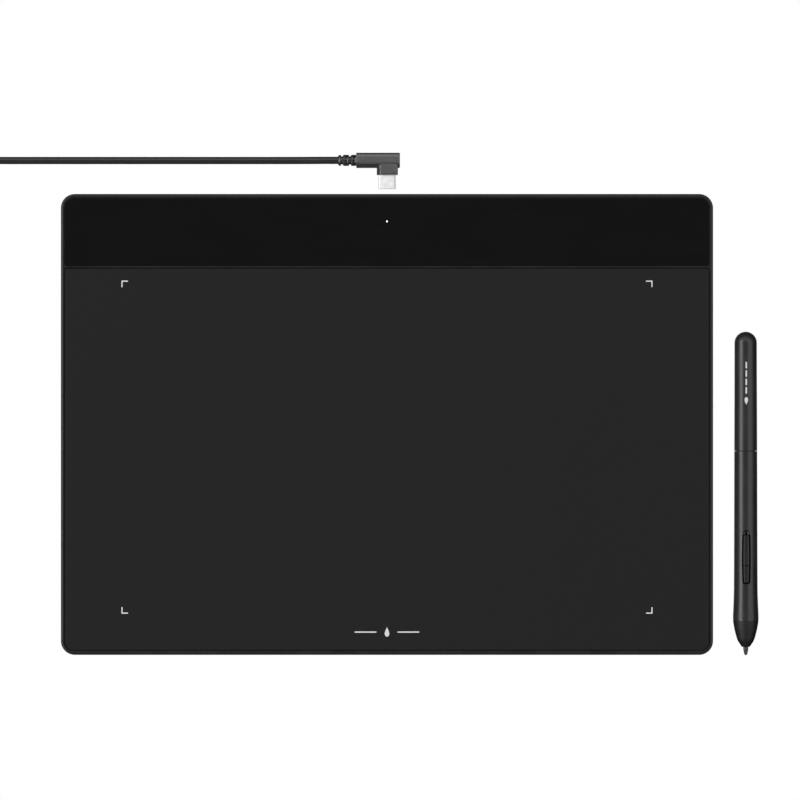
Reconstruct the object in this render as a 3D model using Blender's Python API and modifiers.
"""Pen drawing tablet with its battery-free pen and its USB lead, as an assembly of separate parts.

Frame: metres, +Z up, desk surface at z = 0, the pen's nib and the user at -Y, the lead at +Y.
The origin lies on the desk under the middle of the tablet and pen taken together.
The tablet's and the lead's pieces hang on the empty "tablet_frame", under the tablet's middle.
The pen's pieces hang on the empty "pen_axis": its local +Z runs from the nib's tip to the tail,
and the buttons are on its local -Y side, which faces up.
"""
import math

import bmesh
import bpy
from mathutils import Vector

MM = 0.001

# Tablet casing, seen from above: 312 x 220.5 mm with a 10 x 6.27 inch active area.
TABLET_WIDTH = 312.0 * MM
TABLET_DEPTH = 220.5 * MM
TABLET_CORNER = 6.7 * MM
TABLET_X = -10.928 * MM
CASE_WALL = 1.5 * MM

# Heights above the desk.
CASE_UNDERSIDE = 0.8 * MM
CASE_FLOOR = 2.0 * MM
PART_LINE = 6.2 * MM
PART_GAP = 0.15 * MM
PLATE_UNDERSIDE = 6.9 * MM
RECESS_FLOOR = 8.0 * MM
FILM_TOP = 8.35 * MM
HEADER_TOP = 8.4 * MM
CASE_TOP = 8.5 * MM
RIB_TOP = 5.4 * MM
BOARD_LOW = 3.2 * MM
BOARD_HIGH = 4.0 * MM
PORT_HEIGHT = 3.85 * MM

# Rounding of the casing's long edges.
UNDERSIDE_ROUNDING = 2.4 * MM
TOP_ROUNDING = 1.0 * MM

# Drawing film and glossy header strip, each in its own recess.
SKIN_HALF_WIDTH = 154.1 * MM
FILM_FRONT = -107.8 * MM
FILM_BACK = 74.5 * MM
HEADER_FRONT = 76.0 * MM
HEADER_BACK = 108.3 * MM
RECESS_GAP = 0.4 * MM

# Feet, each with a cover screw hidden behind it.
FOOT_LENGTH = 24.0 * MM
FOOT_WIDTH = 9.0 * MM
FOOT_RECESS = 1.2 * MM
FOOT_X = 138.0 * MM
FOOT_Y = 97.0 * MM
BOSS_LOW = 3.6 * MM
POST_TOP = 3.3 * MM

# Control board and its screws, behind the active area.
CONTROL_HALF_WIDTH = 45.0 * MM
CONTROL_FRONT = 84.0 * MM
CONTROL_BACK = 107.0 * MM
BOARD_SCREW_X = 38.0 * MM
BOARD_SCREW_Y = 101.0 * MM
LED_Y = 97.1 * MM

# USB-C interface, at its standard size.
PLUG_SHELL_WIDTH = 8.25 * MM
PLUG_SHELL_HEIGHT = 2.4 * MM
SOCKET_WIDTH = 8.94 * MM
SOCKET_HEIGHT = 3.16 * MM
SOCKET_WALL = 0.3 * MM
SOCKET_MOUTH = 109.6 * MM
SOCKET_BACK = 102.9 * MM
TONGUE_BASE = 103.3 * MM
TONGUE_TIP = 108.2 * MM
PLUG_TIP = 112.8 * MM

# Right-angled plug moulding: its body runs along X, its foot points at the tablet.
PLUG_LEFT = -14.7 * MM
PLUG_RIGHT = 6.2 * MM
PLUG_FRONT = 122.84 * MM
PLUG_BACK = 130.06 * MM
PLUG_FOOT_LEFT = -4.9 * MM
PLUG_FOOT_RIGHT = 5.25 * MM
PLUG_FOOT_FRONT = 119.46 * MM
PLUG_HEIGHT = 2 * PORT_HEIGHT
BOOT_END = -23.5 * MM

# Lead.
CORD_RADIUS = 1.765 * MM
CORD_Y = 126.46 * MM
JOINT_GAP = 0.3 * MM
COIL_X = -219.0 * MM
COIL_OUTER_TURN = 28.35 * MM
COIL_Y = CORD_Y - COIL_OUTER_TURN
COIL_TURNS_PER_LAYER = 5
COIL_PITCH = 3.56 * MM
COIL_LOW = 0.9 * MM
TIE_THICKNESS = 0.8 * MM
TIE_WIDTH = 6.0 * MM
TAIL_X = -241.0 * MM
TAIL_HEIGHT = 4.0 * MM
TAIL_BOOT_BACK = 60.0 * MM
TAIL_BOOT_FRONT = 48.0 * MM
USB_A_FRONT = 28.0 * MM
USB_A_TIP = 16.2 * MM

# Pen: distances along its axis are from the nib's tip.
PEN_X = 160.778 * MM
PEN_TIP_Y = -110.4 * MM
PEN_LENGTH = 154.8 * MM
NOSE_START = 3.95 * MM
NOSE_END = 16.4 * MM
BARREL_SEAM = 97.7 * MM
DOME_START = 149.4 * MM
PEN_BORE = 4.5 * MM
PEN_THICKEST_AT = 17.6 * MM
PEN_THICKEST = 6.15 * MM
PEN_TAIL_RADIUS = 5.37 * MM
PEN_STATIONS = [
    (NOSE_START, 1.92 * MM),
    (5.2 * MM, 2.74 * MM),
    (7.1 * MM, 3.93 * MM),
    (9.95 * MM, 4.82 * MM),
    (12.8 * MM, 5.51 * MM),
    (PEN_THICKEST_AT, PEN_THICKEST),
    (23.8 * MM, 5.93 * MM),
    (31.0 * MM, 5.71 * MM),
    (60.0 * MM, 5.59 * MM),
    (BARREL_SEAM, 5.5 * MM),
    (DOME_START, PEN_TAIL_RADIUS),
]
SLOT_START = 34.1 * MM
SLOT_END = 58.0 * MM
SLOT_HALF_WIDTH = 2.06 * MM
SLOT_WIDEST_AT = 47.0 * MM
SLOT_BULGE = 0.0015 / MM
SCOOP_END = 59.8 * MM
BUTTON_CLEARANCE = 0.38 * MM
BUTTON_PROUD = 0.3 * MM
BUTTON_UNDERSIDE = 2.9 * MM
LOWER_BUTTON = (34.5 * MM, 42.7 * MM)
UPPER_BUTTON = (43.0 * MM, 57.5 * MM)
LOWER_SWITCH = 40.8 * MM
UPPER_SWITCH = 50.3 * MM
NIB_RADIUS = 1.1 * MM
NIB_COLLAR = 1.2 * MM
NIB_END = 28.6 * MM
NIB_BORE = 1.25 * MM

PARTS = "pen_drawing_tablet"
HELPERS = "cutters"

# Rounding steps of a quarter circle, and sides of a turned piece.
CORNER_STEPS = 5
FINE_SIDES = 24
SMALL_SIDES = 16
HIDDEN_SIDES = 10

COLOURS = {
    "case_plastic": ((0.017, 0.017, 0.018), 0.45, 0.0),
    "film_matte": ((0.021, 0.021, 0.021), 0.75, 0.0),
    "header_gloss": ((0.006, 0.006, 0.006), 0.2, 0.0),
    "clear_plastic": ((0.85, 0.85, 0.85), 0.2, 0.0),
    "board_green": ((0.02, 0.12, 0.06), 0.5, 0.0),
    "shield_metal": ((0.6, 0.6, 0.62), 0.4, 1.0),
    "steel": ((0.62, 0.62, 0.63), 0.3, 1.0),
    "chip_black": ((0.02, 0.02, 0.02), 0.6, 0.0),
    "foot_rubber": ((0.02, 0.02, 0.02), 0.85, 0.0),
    "ribbon_white": ((0.75, 0.75, 0.72), 0.5, 0.0),
    "pen_plastic": ((0.03, 0.03, 0.031), 0.4, 0.0),
    "nose_plastic": ((0.02, 0.02, 0.02), 0.5, 0.0),
    "nib_plastic": ((0.015, 0.015, 0.015), 0.45, 0.0),
    "ferrite": ((0.05, 0.05, 0.055), 0.7, 0.0),
    "copper": ((0.75, 0.35, 0.18), 0.35, 1.0),
    "cord_rubber": ((0.025, 0.025, 0.026), 0.5, 0.0),
    "tie_fabric": ((0.02, 0.02, 0.02), 0.95, 0.0),
    "insert_plastic": ((0.03, 0.03, 0.03), 0.5, 0.0),
}


# ---------------------------------------------------------------- scene and objects

def clear_scene():
    for item in list(bpy.data.objects):
        bpy.data.objects.remove(item, do_unlink=True)
    for group in list(bpy.data.collections):
        bpy.data.collections.remove(group)


def new_collection(name):
    group = bpy.data.collections.new(name)
    bpy.context.scene.collection.children.link(group)
    return group


def finish_for(name):
    """The named material, made once."""
    if name in bpy.data.materials:
        return bpy.data.materials[name]
    colour, roughness, metallic = COLOURS[name]
    finish = bpy.data.materials.new(name)
    finish.use_nodes = True
    shader = finish.node_tree.nodes["Principled BSDF"]
    shader.inputs["Base Color"].default_value = (*colour, 1.0)
    shader.inputs["Roughness"].default_value = roughness
    shader.inputs["Metallic"].default_value = metallic
    return finish


def empty(name, location, rotation=(0.0, 0.0, 0.0)):
    frame = bpy.data.objects.new(name, None)
    frame.location = location
    frame.rotation_euler = rotation
    bpy.data.collections[PARTS].objects.link(frame)
    return frame


def place(item, frame, finish, location=(0, 0, 0), rotation=(0, 0, 0)):
    """Hang a piece on its frame; with no finish it is a helper that only cuts or joins."""
    item.parent = frame
    item.location = location
    item.rotation_euler = rotation
    group = PARTS if finish else HELPERS
    bpy.data.collections[group].objects.link(item)
    if finish:
        item.data.materials.append(finish_for(finish))
    else:
        item.hide_render = True
        item.display_type = "WIRE"
    return item


def evaluated_mesh(item, name):
    """The mesh that an object's curve or modifiers make, with its seams welded."""
    bpy.context.scene.collection.objects.link(item)
    bpy.context.view_layer.update()
    graph = bpy.context.evaluated_depsgraph_get()
    mesh = bpy.data.meshes.new_from_object(item.evaluated_get(graph))
    mesh.name = name
    bpy.data.objects.remove(item, do_unlink=True)
    shape = bmesh.new()
    shape.from_mesh(mesh)
    bmesh.ops.remove_doubles(shape, verts=shape.verts, dist=0.001 * MM)
    bmesh.ops.recalc_face_normals(shape, faces=shape.faces)
    shape.to_mesh(mesh)
    shape.free()
    mesh.materials.clear()
    return mesh


def shade_round(mesh):
    mesh.shade_smooth()
    mesh.set_sharp_from_angle(angle=math.radians(35))


def combine(target, helper, operation):
    step = target.modifiers.new(helper.name, "BOOLEAN")
    step.operation = operation
    step.solver = "EXACT"
    step.object = helper


def cut(target, helper):
    combine(target, helper, "DIFFERENCE")


def join(target, helper):
    combine(target, helper, "UNION")


def keep_inside(target, helper):
    combine(target, helper, "INTERSECT")


# ---------------------------------------------------------------- outlines and solids

def rounded_outline(corners, steps=CORNER_STEPS):
    """Closed outline through (x, y, radius) corners, counter-clockwise, each one rounded off."""
    points = []
    for index, (x, y, radius) in enumerate(corners):
        here = Vector((x, y))
        if radius == 0:
            points.append(here)
            continue
        following = corners[(index + 1) % len(corners)]
        back = (Vector(corners[index - 1][:2]) - here).normalized()
        ahead = (Vector(following[:2]) - here).normalized()
        half = back.angle(ahead) / 2
        centre = here + (back + ahead).normalized() * (radius / math.sin(half))
        arm = here + back * (radius / math.tan(half)) - centre
        turn = math.copysign(math.pi - 2 * half, ahead.x * back.y - ahead.y * back.x)
        for step in range(steps + 1):
            angle = turn * step / steps
            across = Vector((-arm.y, arm.x))
            points.append(centre + arm * math.cos(angle) + across * math.sin(angle))
    return points


def rectangle(left, right, front, back, radius=0.0, steps=CORNER_STEPS):
    corners = [(left, front, radius), (right, front, radius), (right, back, radius), (left, back, radius)]
    return rounded_outline(corners, steps)


def stadium(width, height, steps=CORNER_STEPS):
    """A slot with half-round ends; the radius stays a hair under half the height."""
    radius = height / 2 - 0.005 * MM
    return rectangle(-width / 2, width / 2, -height / 2, height / 2, radius, steps)


def prism_mesh(name, outline, low, high):
    """A flat outline given thickness, from low to high."""
    curve = bpy.data.curves.new(name, "CURVE")
    curve.dimensions = "2D"
    curve.fill_mode = "BOTH"
    curve.extrude = (high - low) / 2
    spline = curve.splines.new("POLY")
    spline.points.add(len(outline) - 1)
    for point, corner in zip(spline.points, outline):
        point.co = (corner[0], corner[1], 0.0, 1.0)
    spline.use_cyclic_u = True
    mesh = evaluated_mesh(bpy.data.objects.new(name, curve), name)
    shape = bmesh.new()
    shape.from_mesh(mesh)
    bmesh.ops.translate(shape, verts=shape.verts, vec=(0.0, 0.0, (low + high) / 2))
    edges = shape.edges
    bmesh.ops.dissolve_limit(shape, angle_limit=math.radians(0.1), verts=shape.verts, edges=edges)
    shape.to_mesh(mesh)
    shape.free()
    return mesh


def prism(name, outline, low, high, frame, finish=None, location=(0, 0, 0), rotation=(0, 0, 0)):
    mesh = prism_mesh(name, outline, low, high)
    return place(bpy.data.objects.new(name, mesh), frame, finish, location, rotation)


def round_rim(item, height, width, segments):
    """Round the edge loop that lies at one height of a prism."""
    shape = bmesh.new()
    shape.from_mesh(item.data)
    level = [e for e in shape.edges if all(abs(v.co.z - height) < 0.01 * MM for v in e.verts)]
    rim = [e for e in level if e.calc_face_angle() > math.radians(45)]
    bmesh.ops.bevel(shape, geom=rim, offset=width, segments=segments, profile=0.5, affect="EDGES")
    shape.to_mesh(item.data)
    shape.free()


def box(name, low, high, frame, finish=None):
    """A box between two corners, with its origin in its middle."""
    mesh = bpy.data.meshes.new(name)
    shape = bmesh.new()
    bmesh.ops.create_cube(shape, size=1.0)
    low = Vector(low)
    high = Vector(high)
    bmesh.ops.scale(shape, verts=shape.verts, vec=high - low)
    shape.to_mesh(mesh)
    shape.free()
    return place(bpy.data.objects.new(name, mesh), frame, finish, (low + high) / 2)


def rods(name, places, radius, low, high, frame, finish=None, sides=12):
    """Upright cylinders, one at each (x, y) place, in one mesh."""
    mesh = bpy.data.meshes.new(name)
    shape = bmesh.new()
    for x, y in places:
        made = bmesh.ops.create_cone(
            shape, cap_ends=True, segments=sides, radius1=radius, radius2=radius, depth=high - low
        )
        bmesh.ops.translate(shape, verts=made["verts"], vec=(x, y, (low + high) / 2))
    shape.to_mesh(mesh)
    shape.free()
    shade_round(mesh)
    return place(bpy.data.objects.new(name, mesh), frame, finish)


def turned(name, profile, frame, finish=None, sides=FINE_SIDES, location=(0, 0, 0), rotation=(0, 0, 0)):
    """A profile of (radius, z) points, turned round Z. It runs down its outer side.

    A profile that starts and ends on the axis makes a solid; any other is closed into a ring.
    """
    mesh = bpy.data.meshes.new(name)
    count = len(profile)
    edges = [(index, index + 1) for index in range(count - 1)]
    if profile[0][0] > 0:
        edges.append((count - 1, 0))
    mesh.from_pydata([(radius, 0.0, z) for radius, z in profile], edges, [])
    lathe = bpy.data.objects.new(name, mesh)
    screw = lathe.modifiers.new("turn", "SCREW")
    screw.axis = "Z"
    screw.angle = math.tau
    screw.steps = sides
    screw.render_steps = sides
    screw.use_merge_vertices = True
    screw.merge_threshold = 0.001 * MM
    solid = evaluated_mesh(lathe, name)
    shade_round(solid)
    return place(bpy.data.objects.new(name, solid), frame, finish, location, rotation)


def smooth_route(points, spacing):
    """Points about one spacing apart on a smooth curve through the route's own points."""
    route = [Vector(point) for point in points]
    ends = [2 * route[0] - route[1]] + route + [2 * route[-1] - route[-2]]
    found = [route[0]]
    for before, start, end, after in zip(ends, ends[1:], ends[2:], ends[3:]):
        leaving = (end - before) / 2
        arriving = (after - start) / 2
        steps = max(1, round((end - start).length / spacing))
        for step in range(1, steps + 1):
            t = step / steps
            found.append(
                start * (2 * t**3 - 3 * t**2 + 1)
                + leaving * (t**3 - 2 * t**2 + t)
                + end * (3 * t**2 - 2 * t**3)
                + arriving * (t**3 - t**2)
            )
    return found


def tube(name, points, radius, frame, finish, resolution=2):
    """A round wire or cord along a line of points."""
    curve = bpy.data.curves.new(name, "CURVE")
    curve.dimensions = "3D"
    curve.bevel_depth = radius
    curve.bevel_resolution = resolution
    curve.use_fill_caps = True
    spline = curve.splines.new("POLY")
    spline.points.add(len(points) - 1)
    for point, spot in zip(spline.points, points):
        point.co = (*spot, 1.0)
    mesh = evaluated_mesh(bpy.data.objects.new(name, curve), name)
    shade_round(mesh)
    return place(bpy.data.objects.new(name, mesh), frame, finish)


# ---------------------------------------------------------------- tablet casing

def case_outline(inset):
    half_width = TABLET_WIDTH / 2 - inset
    half_depth = TABLET_DEPTH / 2 - inset
    return rectangle(-half_width, half_width, -half_depth, half_depth, TABLET_CORNER - inset)


def film_outline(margin):
    """The drawing film's outline, or its recess's with a margin round it."""
    side = SKIN_HALF_WIDTH + margin
    front = FILM_FRONT - margin
    back = FILM_BACK + margin
    front_radius = 4.0 * MM + margin
    back_radius = 1.2 * MM + margin
    corners = [
        (-side, front, front_radius),
        (side, front, front_radius),
        (side, back, back_radius),
        (-side, back, back_radius),
    ]
    return rounded_outline(corners)


def header_outline(margin):
    """The header strip's outline, or its recess's with a margin round it."""
    side = SKIN_HALF_WIDTH + margin
    front = HEADER_FRONT - margin
    back = HEADER_BACK + margin
    front_radius = 1.5 * MM + margin
    back_radius = 4.6 * MM + margin
    corners = [
        (-side, front, front_radius),
        (side, front, front_radius),
        (side, back, back_radius),
        (-side, back, back_radius),
    ]
    return rounded_outline(corners)


def foot_places():
    return [(x, y) for x in (-FOOT_X, FOOT_X) for y in (-FOOT_Y, FOOT_Y)]


def board_screw_places():
    return [(-BOARD_SCREW_X, BOARD_SCREW_Y), (BOARD_SCREW_X, BOARD_SCREW_Y)]


def rib_lattice(cover, frame):
    """Crossing ribs that carry the shield plate and the sensor board."""
    half_rib = 0.5 * MM
    foot = CASE_FLOOR - 0.5 * MM
    reach_x = TABLET_WIDTH / 2 - 1.0 * MM
    reach_front = -(TABLET_DEPTH / 2 - 1.0 * MM)
    reach_back = 81.0 * MM
    for index, y in enumerate((-62.0 * MM, 0.0, 62.0 * MM)):
        low = (-reach_x, y - half_rib, foot)
        high = (reach_x, y + half_rib, RIB_TOP)
        join(cover, box(f"cross_rib_{index}", low, high, frame))
    for index, x in enumerate((-110.0 * MM, -40.0 * MM, 40.0 * MM, 110.0 * MM)):
        low = (x - half_rib, reach_front, foot)
        high = (x + half_rib, reach_back, RIB_TOP - 0.2 * MM)
        join(cover, box(f"long_rib_{index}", low, high, frame))


def bottom_cover(frame):
    """Tray with rounded underside, ribs, screw posts, foot recesses and the port's opening."""
    cover = prism("bottom_cover", case_outline(0.0), CASE_UNDERSIDE, PART_LINE, frame, "case_plastic")
    round_rim(cover, CASE_UNDERSIDE, UNDERSIDE_ROUNDING, 3)
    hollow = prism("bottom_hollow", case_outline(CASE_WALL), CASE_FLOOR, CASE_TOP, frame)
    round_rim(hollow, CASE_FLOOR, 0.9 * MM, 1)
    cut(cover, hollow)
    rib_lattice(cover, frame)
    join(cover, rods("cover_posts", foot_places(), 3.2 * MM, 1.6 * MM, POST_TOP, frame))
    board_post_top = BOARD_LOW - 0.05 * MM
    join(cover, rods("board_posts", board_screw_places(), 2.2 * MM, 1.6 * MM, board_post_top, frame))
    for index, (x, y) in enumerate(foot_places()):
        outline = stadium(FOOT_LENGTH + 0.6 * MM, FOOT_WIDTH + 0.6 * MM)
        recess = prism(f"foot_recess_{index}", outline, 0.0, FOOT_RECESS, frame, location=(x, y, 0.0))
        cut(cover, recess)
    cut(cover, rods("head_recesses", foot_places(), 2.2 * MM, 0.0, 2.2 * MM, frame))
    cut(cover, rods("screw_holes", foot_places(), 1.25 * MM, 0.0, 4.0 * MM, frame))
    cut(cover, rods("board_pilots", board_screw_places(), 0.8 * MM, 1.5 * MM, 4.0 * MM, frame))
    opening = stadium(SOCKET_WIDTH + 0.4 * MM, SOCKET_HEIGHT + 0.4 * MM)
    mouth = (0.0, TABLET_DEPTH / 2 + 1.0 * MM, PORT_HEIGHT)
    port = prism("port_opening", outline=opening, low=0.0, high=4.0 * MM, frame=frame,
                 location=mouth, rotation=(math.pi / 2, 0.0, 0.0))
    cut(cover, port)


def top_cover(frame):
    """Lid with a locating lip, screw bosses and the two recesses for the film and the strip."""
    low = PART_LINE + PART_GAP
    cover = prism("top_cover", case_outline(0.0), low, CASE_TOP, frame, "case_plastic")
    round_rim(cover, CASE_TOP, TOP_ROUNDING, 2)
    cut(cover, prism("top_hollow", case_outline(CASE_WALL), CASE_FLOOR, PLATE_UNDERSIDE, frame))
    lip = prism("lip", case_outline(CASE_WALL + 0.2 * MM), 5.6 * MM, 7.2 * MM, frame)
    lip_hollow = prism("lip_hollow", case_outline(CASE_WALL + 1.0 * MM), 4.0 * MM, PLATE_UNDERSIDE, frame)
    join(cover, lip)
    cut(cover, lip_hollow)
    join(cover, rods("bosses", foot_places(), 2.6 * MM, BOSS_LOW, 7.2 * MM, frame))
    cut(cover, rods("boss_pilots", foot_places(), 1.05 * MM, 3.0 * MM, 7.3 * MM, frame))
    cut(cover, prism("film_recess", film_outline(RECESS_GAP), RECESS_FLOOR, 9.5 * MM, frame))
    cut(cover, prism("header_recess", header_outline(RECESS_GAP), RECESS_FLOOR, 9.5 * MM, frame))
    cut(cover, rods("pipe_hole", [(0.0, LED_Y)], 0.65 * MM, 6.0 * MM, 9.0 * MM, frame))


def drawing_film(frame):
    prism("drawing_film", film_outline(0.0), RECESS_FLOOR + 0.05 * MM, FILM_TOP, frame, "film_matte")


def header_strip(frame):
    low = RECESS_FLOOR + 0.05 * MM
    strip = prism("header_strip", header_outline(0.0), low, HEADER_TOP, frame, "header_gloss")
    window = rods("header_window", [(0.0, LED_Y)], 0.45 * MM, 7.0 * MM, 9.0 * MM, frame)
    cut(strip, window)


def light_pipe(frame):
    """Clear pin that carries the lamp's light up to the strip's pinhole."""
    profile = [
        (0.0, HEADER_TOP),
        (0.38 * MM, HEADER_TOP),
        (0.38 * MM, RECESS_FLOOR),
        (0.55 * MM, RECESS_FLOOR - 0.1 * MM),
        (0.55 * MM, 6.7 * MM),
        (1.3 * MM, 6.7 * MM),
        (1.3 * MM, 5.2 * MM),
        (0.0, 5.2 * MM),
    ]
    turned("light_pipe", profile, frame, "clear_plastic", sides=12, location=(0.0, LED_Y, 0.0))


def rubber_feet(frame):
    for index, (x, y) in enumerate(foot_places(), start=1):
        outline = stadium(FOOT_LENGTH, FOOT_WIDTH)
        foot = prism(f"rubber_foot_{index}", outline, 0.0, 1.15 * MM, frame, "foot_rubber", (x, y, 0.0))
        round_rim(foot, 0.0, 0.3 * MM, 1)


def screw_profile(head_low, head_high, tip, head_radius, shank_radius):
    """Outline of a screw whose head is below its shank, down its outer side."""
    point = 0.6 * MM
    return [
        (0.0, tip),
        (shank_radius * 0.4, tip),
        (shank_radius, tip - point),
        (shank_radius, head_high),
        (head_radius, head_high),
        (head_radius, head_low + 0.2 * MM),
        (head_radius - 0.3 * MM, head_low),
        (head_radius * 0.45, head_low),
        (0.0, head_low + 0.5 * MM),
    ]


def cover_screws(frame):
    profile = screw_profile(1.25 * MM, 2.15 * MM, 6.9 * MM, 1.9 * MM, 0.95 * MM)
    for index, (x, y) in enumerate(foot_places(), start=1):
        turned(f"cover_screw_{index}", profile, frame, "steel", HIDDEN_SIDES, (x, y, 0.0))


# ---------------------------------------------------------------- tablet electronics

def sensor_board(frame):
    outline = rectangle(-133.0 * MM, 133.0 * MM, -96.5 * MM, 79.0 * MM, 2.0 * MM, 2)
    prism("sensor_board", outline, 6.0 * MM, 6.8 * MM, frame, "board_green")


def shield_plate(frame):
    outline = rectangle(-132.0 * MM, 132.0 * MM, -95.5 * MM, 72.5 * MM, 2.0 * MM, 2)
    prism("shield_plate", outline, 5.5 * MM, 5.8 * MM, frame, "shield_metal")


def control_board(frame):
    """Board with a notch that the port sits in and two screw holes."""
    side = CONTROL_HALF_WIDTH
    notch = SOCKET_WIDTH / 2 + 0.2 * MM
    notch_front = SOCKET_BACK - 0.3 * MM
    corners = [
        (-side, CONTROL_FRONT, 0.0),
        (side, CONTROL_FRONT, 0.0),
        (side, CONTROL_BACK, 0.0),
        (notch, CONTROL_BACK, 0.0),
        (notch, notch_front, 0.0),
        (-notch, notch_front, 0.0),
        (-notch, CONTROL_BACK, 0.0),
        (-side, CONTROL_BACK, 0.0),
    ]
    outline = rounded_outline(corners)
    board = prism("control_board", outline, BOARD_LOW, BOARD_HIGH, frame, "board_green")
    cut(board, rods("board_holes", board_screw_places(), 1.1 * MM, 2.0 * MM, 5.0 * MM, frame))


def board_screws(frame):
    """Screws whose heads are above the board: the profile runs from the head down to the tip."""
    profile = [
        (0.0, 4.45 * MM),
        (0.8 * MM, 4.85 * MM),
        (1.6 * MM, 4.85 * MM),
        (1.9 * MM, 4.6 * MM),
        (1.9 * MM, 4.05 * MM),
        (0.7 * MM, 4.05 * MM),
        (0.7 * MM, 2.5 * MM),
        (0.3 * MM, 2.05 * MM),
        (0.0, 2.05 * MM),
    ]
    for index, (x, y) in enumerate(board_screw_places(), start=1):
        turned(f"board_screw_{index}", profile, frame, "steel", HIDDEN_SIDES, (x, y, 0.0))


def board_chips(frame):
    """Flat packages on the control board: name, middle, length, width, height."""
    packages = [
        ("processor_chip", -14.0, 95.0, 8.0, 8.0, 0.9),
        ("analog_chip_1", 15.0, 94.0, 5.0, 5.0, 0.8),
        ("analog_chip_2", 25.0, 94.0, 5.0, 5.0, 0.8),
        ("clock_crystal", -23.0, 95.0, 3.2, 2.5, 0.8),
        ("voltage_regulator", 12.0, 102.5, 3.0, 1.7, 1.1),
        ("status_led", 0.0, LED_Y / MM, 1.6, 0.8, 0.6),
    ]
    low = BOARD_HIGH + 0.05 * MM
    finishes = {"clock_crystal": "steel", "status_led": "clear_plastic"}
    for name, x, y, length, width, height in packages:
        finish = finishes.get(name, "chip_black")
        near = ((x - length / 2) * MM, (y - width / 2) * MM, low)
        far = ((x + length / 2) * MM, (y + width / 2) * MM, low + height * MM)
        box(name, near, far, frame, finish)


def ribbon(frame):
    """Flat cable from the sensor board to the control board, with a connector at each end."""
    half = 6.0 * MM
    thick = 0.1 * MM
    front_low = 4.75 * MM
    front_high = 5.95 * MM
    front_slot = 5.35 * MM
    back_low = BOARD_HIGH + 0.05 * MM
    back_high = back_low + 1.2 * MM
    back_slot = back_low + 0.6 * MM
    front = box("ribbon_connector_front", (-half - 1 * MM, 74.5 * MM, front_low),
                (half + 1 * MM, 78.0 * MM, front_high), frame, "insert_plastic")
    back = box("ribbon_connector_back", (-half - 1 * MM, 86.0 * MM, back_low),
               (half + 1 * MM, 89.5 * MM, back_high), frame, "insert_plastic")
    slot = 0.2 * MM
    cut(front, box("front_slot", (-half - 0.2 * MM, 76.0 * MM, front_slot - slot),
                   (half + 0.2 * MM, 79.0 * MM, front_slot + slot), frame))
    cut(back, box("back_slot", (-half - 0.2 * MM, 85.0 * MM, back_slot - slot),
                  (half + 0.2 * MM, 88.0 * MM, back_slot + slot), frame))
    # The ribbon's side view is an S between the two slots, drawn in (Y, Z) and extruded along X.
    start = 76.2 * MM
    end = 87.8 * MM
    lead = 3.0 * MM
    steps = 8
    middle = [(start, front_slot)]
    for step in range(steps + 1):
        t = step / steps
        y = start + lead + (end - start - 2 * lead) * t
        blend = (1 + math.cos(math.pi * t)) / 2
        middle.append((y, back_slot + (front_slot - back_slot) * blend))
    middle.append((end, back_slot))
    lower = [(y, z - thick) for y, z in middle]
    upper = [(y, z + thick) for y, z in reversed(middle)]
    strip = prism("ribbon_cable", lower + upper, -half, half, frame, "ribbon_white")
    strip.rotation_euler = (math.pi / 2, 0.0, math.pi / 2)


def port_socket(frame):
    """Metal shell of the USB-C port and the tongue that stands in it."""
    towards_user = (math.pi / 2, 0.0, 0.0)
    mouth = (0.0, SOCKET_MOUTH, PORT_HEIGHT)
    depth = SOCKET_MOUTH - SOCKET_BACK
    shell = prism("port_shell", stadium(SOCKET_WIDTH, SOCKET_HEIGHT), 0.0, depth, frame, "steel",
                  mouth, towards_user)
    inner_width = SOCKET_WIDTH - 2 * SOCKET_WALL
    inner_height = SOCKET_HEIGHT - 2 * SOCKET_WALL
    bore = prism("port_bore", stadium(inner_width, inner_height), -MM, depth + MM, frame,
                 location=mouth, rotation=towards_user)
    cut(shell, bore)
    base = stadium(inner_width - 0.1 * MM, inner_height - 0.1 * MM)
    base_front = SOCKET_MOUTH - TONGUE_BASE
    tongue = prism("port_tongue", base, base_front, depth - 0.05 * MM, frame, "insert_plastic",
                   mouth, towards_user)
    low = (-3.345 * MM, TONGUE_BASE - 0.2 * MM, PORT_HEIGHT - 0.35 * MM)
    high = (3.345 * MM, TONGUE_TIP, PORT_HEIGHT + 0.35 * MM)
    join(tongue, box("tongue_blade", low, high, frame))


# ---------------------------------------------------------------- lead

def plug_housing(frame):
    """Right-angled moulding: a body along X, a foot towards the tablet, and the shell's pocket."""
    body = rectangle(PLUG_LEFT, PLUG_RIGHT, PLUG_FRONT, PLUG_BACK, 1.0 * MM, 3)
    housing = prism("usb_c_plug_housing", body, 0.0, PLUG_HEIGHT, frame, "cord_rubber")
    round_rim(housing, 0.0, 0.8 * MM, 2)
    round_rim(housing, PLUG_HEIGHT, 0.8 * MM, 2)
    foot_back = PLUG_FRONT + 3.0 * MM
    foot = rectangle(PLUG_FOOT_LEFT, PLUG_FOOT_RIGHT, PLUG_FOOT_FRONT, foot_back, 0.9 * MM, 3)
    inset = 0.1 * MM
    block = prism("plug_foot", foot, inset, PLUG_HEIGHT - inset, frame)
    round_rim(block, inset, 0.7 * MM, 2)
    round_rim(block, PLUG_HEIGHT - inset, 0.7 * MM, 2)
    join(housing, block)
    pocket_outline = stadium(PLUG_SHELL_WIDTH + 0.1 * MM, PLUG_SHELL_HEIGHT + 0.1 * MM)
    pocket = prism("plug_pocket", pocket_outline, -3.0 * MM, 3.0 * MM, frame,
                   location=(0.0, PLUG_FOOT_FRONT, PORT_HEIGHT), rotation=(math.pi / 2, 0.0, 0.0))
    cut(housing, pocket)


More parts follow.
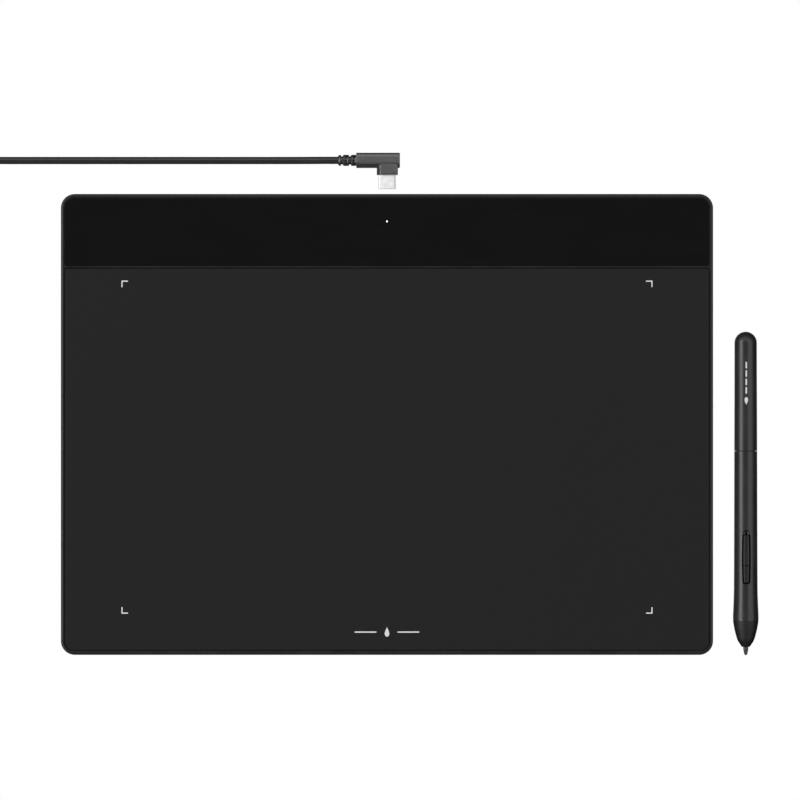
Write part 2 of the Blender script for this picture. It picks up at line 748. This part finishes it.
def plug_shell(frame):
    """Standard USB-C plug shell and the slotted insert inside it."""
    towards_user = (math.pi / 2, 0.0, 0.0)
    back = PLUG_FOOT_FRONT + 2.8 * MM
    root = (0.0, back, PORT_HEIGHT)
    length = back - PLUG_TIP
    outer = stadium(PLUG_SHELL_WIDTH, PLUG_SHELL_HEIGHT)
    shell = prism("usb_c_plug_shell", outer, 0.0, length, frame, "steel", root, towards_user)
    inner_width = PLUG_SHELL_WIDTH - 0.5 * MM
    inner_height = PLUG_SHELL_HEIGHT - 0.5 * MM
    inner = stadium(inner_width, inner_height)
    cut(shell, prism("plug_shell_bore", inner, -MM, length + MM, frame, None, root, towards_user))
    outline = stadium(inner_width - 0.1 * MM, inner_height - 0.1 * MM)
    insert = prism("usb_c_plug_insert", outline, 0.1 * MM, length - 0.2 * MM, frame,
                   "insert_plastic", root, towards_user)
    slot_low = (-3.45 * MM, PLUG_TIP - MM, PORT_HEIGHT - 0.5 * MM)
    slot_high = (3.45 * MM, PLUG_TIP + 5.4 * MM, PORT_HEIGHT + 0.5 * MM)
    cut(insert, box("insert_slot", slot_low, slot_high, frame))


def plug_boot(frame):
    """Ribbed strain relief: ribs on a slimmer core, thickest at the plug."""
    core = 1.95 * MM
    rib = 2.7 * MM
    chamfer = 0.1 * MM
    ribs = [(0.05 * MM, 2.2 * MM), (3.4 * MM, 6.2 * MM), (7.3 * MM, 8.7 * MM)]
    start, end = ribs[0][0], ribs[-1][1]
    outside = []
    for low, high in ribs:
        outside.append((core, low - chamfer))
        outside.append((rib, low))
        outside.append((rib, high))
        outside.append((core, high + chamfer))
    profile = [(0.0, start)] + outside[1:-1] + [(0.0, end)]
    profile.reverse()
    turned("usb_c_boot", profile, frame, "cord_rubber", SMALL_SIDES,
           (PLUG_LEFT, CORD_Y, PORT_HEIGHT), (0.0, -math.pi / 2, 0.0))


def cord(frame):
    """The lead's straight stretch: out of the boot, down to the desk and along to the coil."""
    first = BOOT_END - JOINT_GAP
    last = COIL_X + 14.0 * MM + JOINT_GAP
    rest = CORD_RADIUS + 0.01 * MM
    lifted = COIL_LOW + CORD_RADIUS
    route = [
        (first, CORD_Y, PORT_HEIGHT),
        (-27.0 * MM, CORD_Y, 3.82 * MM),
        (-32.0 * MM, CORD_Y, 3.55 * MM),
        (-39.0 * MM, CORD_Y, 2.75 * MM),
        (-47.0 * MM, CORD_Y, 2.05 * MM),
        (-56.0 * MM, CORD_Y, rest),
        (-70.0 * MM, CORD_Y, rest),
        (-100.0 * MM, CORD_Y, rest),
        (-130.0 * MM, CORD_Y, rest),
        (-160.0 * MM, CORD_Y, rest),
        (-182.0 * MM, CORD_Y, rest),
        (-192.0 * MM, CORD_Y, rest + 0.25 * MM),
        (last, CORD_Y, lifted - 0.15 * MM),
    ]
    tube("cable_cord", smooth_route(route, 9.0 * MM), CORD_RADIUS, frame, "cord_rubber")


def coil(frame):
    """Two flat layers of turns as one ring, raised on its ties."""
    outer = COIL_OUTER_TURN + CORD_RADIUS
    inner = COIL_OUTER_TURN - COIL_TURNS_PER_LAYER * COIL_PITCH - CORD_RADIUS
    high = COIL_LOW + 4 * CORD_RADIUS
    edge = 1.2 * MM
    profile = [
        (inner + edge, high),
        (outer - edge, high),
        (outer, high - edge),
        (outer, COIL_LOW + edge),
        (outer - edge, COIL_LOW),
        (inner + edge, COIL_LOW),
        (inner, COIL_LOW + edge),
        (inner, high - edge),
    ]
    turned("cable_coil", profile, frame, "cord_rubber", 36, (COIL_X, COIL_Y, 0.0))
    return inner, outer, high


def ties(frame, inner, outer, high):
    """Two fabric bands round the coil's turns, on opposite sides of it."""
    gap = 0.1 * MM
    inner_face = math.sqrt(inner**2 - (TIE_WIDTH / 2) ** 2) - gap
    outer_face = outer + gap
    roof = high + gap
    for index, angle in enumerate((math.radians(135), math.radians(-45)), start=1):
        outside = rectangle(inner_face - TIE_THICKNESS, outer_face + TIE_THICKNESS,
                            0.0, roof + TIE_THICKNESS, 1.2 * MM, 2)
        inside = rectangle(inner_face, outer_face, TIE_THICKNESS, roof, 0.4 * MM, 1)
        turn = (math.pi / 2, 0.0, angle)
        middle = (COIL_X, COIL_Y, 0.0)
        half = TIE_WIDTH / 2
        band = prism(f"cable_tie_{index}", outside, -half, half, frame, "tie_fabric", middle, turn)
        hole = prism(f"tie_hole_{index}", inside, -half - MM, half + MM, frame, None, middle, turn)
        cut(band, hole)


def tail(frame):
    """The lead's last stretch, from the coil's outer turn down to the far plug."""
    route = [
        (-247.1 * MM, 83.0 * MM, 5.1 * MM),
        (-245.6 * MM, 77.0 * MM, 4.1 * MM),
        (-243.6 * MM, 71.0 * MM, 3.4 * MM),
        (-241.8 * MM, 65.0 * MM, 3.6 * MM),
        (TAIL_X, TAIL_BOOT_BACK + JOINT_GAP, TAIL_HEIGHT),
    ]
    tube("cable_tail", smooth_route(route, 6.0 * MM), CORD_RADIUS, frame, "cord_rubber")


def far_plug(frame):
    """USB-A plug at the lead's other end, lying flat on the desk."""
    boot_length = TAIL_BOOT_BACK - TAIL_BOOT_FRONT
    boot = [
        (0.0, boot_length),
        (2.2 * MM, boot_length),
        (3.2 * MM, 0.05 * MM),
        (0.0, 0.05 * MM),
    ]
    turned("usb_a_boot", boot, frame, "cord_rubber", SMALL_SIDES,
           (TAIL_X, TAIL_BOOT_FRONT, TAIL_HEIGHT), (-math.pi / 2, 0.0, 0.0))
    towards_user = (math.pi / 2, 0.0, 0.0)
    root = (TAIL_X, TAIL_BOOT_FRONT, TAIL_HEIGHT)
    length = TAIL_BOOT_FRONT - USB_A_FRONT
    outline = rectangle(-7.75 * MM, 7.75 * MM, -TAIL_HEIGHT, TAIL_HEIGHT, 1.6 * MM, 3)
    housing = prism("usb_a_housing", outline, 0.0, length, frame, "cord_rubber", root, towards_user)
    round_rim(housing, 0.0, 1.2 * MM, 2)
    pocket = rectangle(-6.05 * MM, 6.05 * MM, -2.3 * MM, 2.3 * MM, 0.5 * MM, 2)
    cut(housing, prism("usb_a_pocket", pocket, length - 3.0 * MM, length + MM, frame, None, root,
                       towards_user))
    shell_start = length - 2.8 * MM
    tip = TAIL_BOOT_FRONT - USB_A_TIP
    outer = rectangle(-6.0 * MM, 6.0 * MM, -2.25 * MM, 2.25 * MM, 0.5 * MM, 2)
    inner = rectangle(-5.7 * MM, 5.7 * MM, -1.95 * MM, 1.95 * MM, 0.3 * MM, 2)
    shell = prism("usb_a_shell", outer, shell_start, tip, frame, "steel", root, towards_user)
    bore = prism("usb_a_bore", inner, shell_start - MM, tip + MM, frame, None, root, towards_user)
    cut(shell, bore)
    hole_back = USB_A_FRONT - 4.0 * MM
    hole_front = hole_back - 2.3 * MM
    for index, side in enumerate((-2.9 * MM, 2.9 * MM)):
        low = (TAIL_X + side - 1.2 * MM, hole_front, 0.0)
        high = (TAIL_X + side + 1.2 * MM, hole_back, 2 * TAIL_HEIGHT)
        cut(shell, box(f"usb_a_window_{index}", low, high, frame))
    block = rectangle(-5.6 * MM, 5.6 * MM, -1.85 * MM, 0.0, 0.0)
    prism("usb_a_insert", block, shell_start + 0.1 * MM, tip - 0.4 * MM, frame, "insert_plastic",
          root, towards_user)


# ---------------------------------------------------------------- pen

def pen_radius(at):
    """Outer radius of the pen's body, on a smooth line through its stations."""
    spots = PEN_STATIONS
    slopes = [0.0] * len(spots)
    rises = [(b[1] - a[1]) / (b[0] - a[0]) for a, b in zip(spots, spots[1:])]
    slopes[0] = rises[0]
    for index in range(1, len(spots) - 1):
        before, after = rises[index - 1], rises[index]
        if before * after > 0:
            slopes[index] = 2 * before * after / (before + after)
    last = max(i for i in range(len(spots) - 1) if spots[i][0] <= at or i == 0)
    (low, start), (high, end) = spots[last], spots[last + 1]
    width = high - low
    t = (at - low) / width
    return (
        start * (2 * t**3 - 3 * t**2 + 1)
        + slopes[last] * width * (t**3 - 2 * t**2 + t)
        + end * (3 * t**2 - 2 * t**3)
        + slopes[last + 1] * width * (t**3 - t**2)
    )


def pen_outline(start, end, count, power=1.0):
    """(radius, distance) points of the pen's outside, from the tail side to the nib side."""
    spots = [start + (end - start) * (step / count) ** power for step in range(count + 1)]
    return [(pen_radius(at), at) for at in reversed(spots)]


def pen_frame():
    """Rest the pen on its thickest ring and its tail: the axis tips down a little to the tail."""
    span = DOME_START - PEN_THICKEST_AT
    tilt = math.atan((PEN_THICKEST - PEN_TAIL_RADIUS) / span)
    height = PEN_THICKEST * math.cos(tilt) + PEN_THICKEST_AT * math.sin(tilt)
    return empty("pen_axis", (PEN_X, PEN_TIP_Y, height), (-math.pi / 2 - tilt, 0.0, 0.0))


def nose_cone(frame):
    outside = pen_outline(NOSE_START, NOSE_END, 8)
    inside = [
        (1.35 * MM, NOSE_START),
        (1.35 * MM, 8.2 * MM),
        (3.2 * MM, 10.3 * MM),
        (PEN_BORE, 15.0 * MM),
        (PEN_BORE, NOSE_END),
    ]
    turned("pen_nose_cone", outside + inside, frame, "nose_plastic")


def front_barrel(frame):
    """Barrel with the buttons' slot, which goes on as a shallow scoop towards the tail."""
    start = NOSE_END + 0.05 * MM
    end = BARREL_SEAM - 0.15 * MM
    outside = pen_outline(start, end, 9, power=2.0)
    inside = [(PEN_BORE, start), (PEN_BORE, end)]
    barrel = turned("pen_front_barrel", outside + inside, frame, "pen_plastic")
    upright = (math.pi / 2, 0.0, 0.0)
    slot = slot_outline(SLOT_START, SLOT_END, 0.0, 1.3 * MM, 0.2 * MM)
    cut(barrel, prism("button_slot", slot, 3.6 * MM, 8.0 * MM, frame, rotation=upright))
    scoop = slot_outline(SLOT_END - MM, SCOOP_END, 0.15 * MM, 0.2 * MM, 0.8 * MM)
    cut(barrel, prism("scoop", scoop, 4.9 * MM, 8.0 * MM, frame, rotation=upright))


def rear_barrel(frame):
    """Closed tail barrel with a spigot that plugs into the front barrel."""
    start = BARREL_SEAM + 0.15 * MM
    dome_length = PEN_LENGTH - DOME_START
    dome_steps = 6
    dome = [
        (
            PEN_TAIL_RADIUS * math.sin(math.pi / 2 * step / dome_steps),
            DOME_START + dome_length * math.cos(math.pi / 2 * step / dome_steps),
        )
        for step in range(dome_steps)
    ]
    outside = pen_outline(start, DOME_START, 3)
    spigot_start = 90.0 * MM
    spigot = [
        (4.4 * MM, start),
        (4.4 * MM, spigot_start),
        (3.6 * MM, spigot_start),
        (3.6 * MM, start + 1.0 * MM),
        (PEN_BORE, start + 2.0 * MM),
        (PEN_BORE, DOME_START - 1.0 * MM),
        (3.6 * MM, DOME_START + 2.0 * MM),
        (0.0, DOME_START + 2.0 * MM),
    ]
    turned("pen_rear_barrel", dome + outside + spigot, frame, "pen_plastic")


def slot_half_width(at):
    """The slot is a little wider in its middle than at its ends."""
    return SLOT_HALF_WIDTH - SLOT_BULGE * (at - SLOT_WIDEST_AT) ** 2


def slot_outline(start, end, clearance, start_radius, end_radius):
    """Outline of the buttons' slot, or of a button in it, across X and along the pen."""
    near = slot_half_width(start) - clearance
    far = slot_half_width(end) - clearance
    middles = [start + (end - start) * share for share in (0.35, 0.65)]
    side = [(slot_half_width(at) - clearance, at, 0.0) for at in middles]
    corners = [(-near, start, start_radius), (near, start, start_radius), *side]
    corners += [(far, end, end_radius), (-far, end, end_radius)]
    corners += [(-x, at, 0.0) for x, at, _ in reversed(side)]
    return rounded_outline(corners, 4)


def pen_button(name, span, start_radius, end_radius, frame):
    """Cap that stands a little proud of the barrel, with a flange that keeps it in its slot."""
    upright = (math.pi / 2, 0.0, 0.0)
    outline = slot_outline(*span, BUTTON_CLEARANCE, start_radius, end_radius)
    cap = prism(name, outline, BUTTON_UNDERSIDE, 8.0 * MM, frame, "nose_plastic", rotation=upright)
    proud = [(radius + BUTTON_PROUD, at) for radius, at in pen_outline(30.0 * MM, 62.0 * MM, 4)]
    crown = turned(f"{name}_crown", [(0.0, 62.0 * MM)] + proud + [(0.0, 30.0 * MM)], frame, sides=36)
    keep_inside(cap, crown)
    low = (-2.2 * MM, -3.5 * MM, span[0] + 0.3 * MM)
    high = (2.2 * MM, -BUTTON_UNDERSIDE, span[1] - 0.3 * MM)
    join(cap, box(f"{name}_flange", low, high, frame))


def pen_buttons(frame):
    pen_button("pen_lower_button", LOWER_BUTTON, 1.0 * MM, 0.2 * MM, frame)
    pen_button("pen_upper_button", UPPER_BUTTON, 0.2 * MM, 0.6 * MM, frame)


def pen_switches(frame):
    """Push switches on the pen's board, one behind each button."""
    for name, at in (("pen_lower_switch", LOWER_SWITCH), ("pen_upper_switch", UPPER_SWITCH)):
        low = (-1.6 * MM, -1.75 * MM, at - 1.5 * MM)
        high = (1.6 * MM, -0.45 * MM, at + 1.5 * MM)
        switch = box(name, low, high, frame, "insert_plastic")
        plunger = rods(f"{name}_plunger", [(0.0, 0.0)], 0.75 * MM, 1.5 * MM, 2.45 * MM, frame)
        plunger.location = (0.0, 0.0, at)
        plunger.rotation_euler = (math.pi / 2, 0.0, 0.0)
        join(switch, plunger)


def pen_board(frame):
    low = (-3.3 * MM, -0.4 * MM, 38.5 * MM)
    high = (3.3 * MM, 0.4 * MM, 86.0 * MM)
    box("pen_circuit_board", low, high, frame, "board_green")


def half_ring(inner, outer, steps=8, margin=0.0):
    """Half a ring's section on the +Y side, less a margin angle at each end."""
    arc = [margin + (math.pi - 2 * margin) * step / steps for step in range(steps + 1)]
    outside = [(outer * math.cos(angle), outer * math.sin(angle)) for angle in arc]
    inside = [(inner * math.cos(angle), inner * math.sin(angle)) for angle in reversed(arc)]
    return outside + inside


def pen_chassis(frame):
    """Half tube that carries the coil, the pressure sensor and the board."""
    chassis = prism("pen_chassis", half_ring(3.45 * MM, 4.35 * MM), 16.5 * MM, 88.0 * MM, frame,
                    "insert_plastic")
    saddles = [("coil_saddle", 3.0, 17.5, 21.0), ("sensor_saddle", 2.5, 34.5, 37.5)]
    margin = math.radians(10)
    for name, radius, low, high in saddles:
        ring = half_ring(radius * MM, 3.9 * MM, margin=margin)
        join(chassis, prism(name, ring, low * MM, high * MM, frame))
    stop = half_ring(1.0 * MM, 3.9 * MM, margin=margin)
    join(chassis, prism("chassis_end", stop, 86.5 * MM, 87.5 * MM, frame))


def pen_nib(frame):
    """Blunt writing tip, a collar that the nose guides, and a slimmer shank."""
    tip_radius = 0.7 * MM
    tip_length = 0.45 * MM
    steps = 4
    point = []
    for step in range(1, steps + 1):
        angle = math.pi / 2 * step / steps
        point.append((tip_radius * math.sin(angle), tip_length * (1 - math.cos(angle))))
    collar = [(0.92 * MM, 1.3 * MM), (NIB_COLLAR, 2.5 * MM), (NIB_COLLAR, 8.4 * MM)]
    shank = [(NIB_RADIUS, 8.8 * MM), (NIB_RADIUS, NIB_END)]
    profile = [(0.0, 0.0)] + point + collar + shank + [(0.0, NIB_END)]
    profile.reverse()
    turned("pen_nib", profile, frame, "nib_plastic", SMALL_SIDES)


def nib_holder(frame):
    profile = [
        (0.0, 31.0 * MM),
        (1.9 * MM, 31.0 * MM),
        (1.9 * MM, 25.4 * MM),
        (NIB_BORE, 25.4 * MM),
        (NIB_BORE, 28.8 * MM),
        (0.0, 28.8 * MM),
    ]
    turned("pen_nib_holder", profile, frame, "insert_plastic", SMALL_SIDES)


def ferrite_core(frame):
    profile = [(2.0 * MM, 25.0 * MM), (2.0 * MM, 9.5 * MM), (NIB_BORE, 9.5 * MM), (NIB_BORE, 25.0 * MM)]
    turned("pen_ferrite_core", profile, frame, "ferrite", SMALL_SIDES)


def pen_coil(frame):
    profile = [(2.9 * MM, 22.0 * MM), (2.9 * MM, 11.5 * MM), (2.1 * MM, 11.5 * MM), (2.1 * MM, 22.0 * MM)]
    turned("pen_coil", profile, frame, "copper", SMALL_SIDES)


def pressure_spring(frame):
    """Small coil spring between the nib holder and the pressure sensor."""
    wire = 0.15 * MM
    low = 31.25 * MM
    high = 33.75 * MM
    turns = 3
    per_turn = 10
    total = turns * per_turn
    points = []
    for step in range(total + 1):
        angle = math.tau * step / per_turn
        along = low + (high - low) * step / total
        points.append((1.3 * MM * math.cos(angle), 1.3 * MM * math.sin(angle), along))
    tube("pen_pressure_spring", points, wire, frame, "steel", resolution=0)


def pressure_sensor(frame):
    profile = [(0.0, 38.0 * MM), (2.4 * MM, 38.0 * MM), (2.4 * MM, 34.0 * MM), (0.0, 34.0 * MM)]
    turned("pen_pressure_sensor", profile, frame, "insert_plastic", SMALL_SIDES)


# ---------------------------------------------------------------- assembly

def build_tablet(frame):
    bottom_cover(frame)
    top_cover(frame)
    drawing_film(frame)
    header_strip(frame)
    light_pipe(frame)
    rubber_feet(frame)
    cover_screws(frame)
    sensor_board(frame)
    shield_plate(frame)
    control_board(frame)
    board_screws(frame)
    board_chips(frame)
    ribbon(frame)
    port_socket(frame)


def build_lead(frame):
    plug_housing(frame)
    plug_shell(frame)
    plug_boot(frame)
    cord(frame)
    inner, outer, high = coil(frame)
    ties(frame, inner, outer, high)
    tail(frame)
    far_plug(frame)


def build_pen(frame):
    nose_cone(frame)
    front_barrel(frame)
    rear_barrel(frame)
    pen_buttons(frame)
    pen_switches(frame)
    pen_board(frame)
    pen_chassis(frame)
    pen_nib(frame)
    nib_holder(frame)
    ferrite_core(frame)
    pen_coil(frame)
    pressure_spring(frame)
    pressure_sensor(frame)


clear_scene()
new_collection(PARTS)
new_collection(HELPERS)
tablet_frame = empty("tablet_frame", (TABLET_X, 0.0, 0.0))
build_tablet(tablet_frame)
build_lead(tablet_frame)
build_pen(pen_frame())
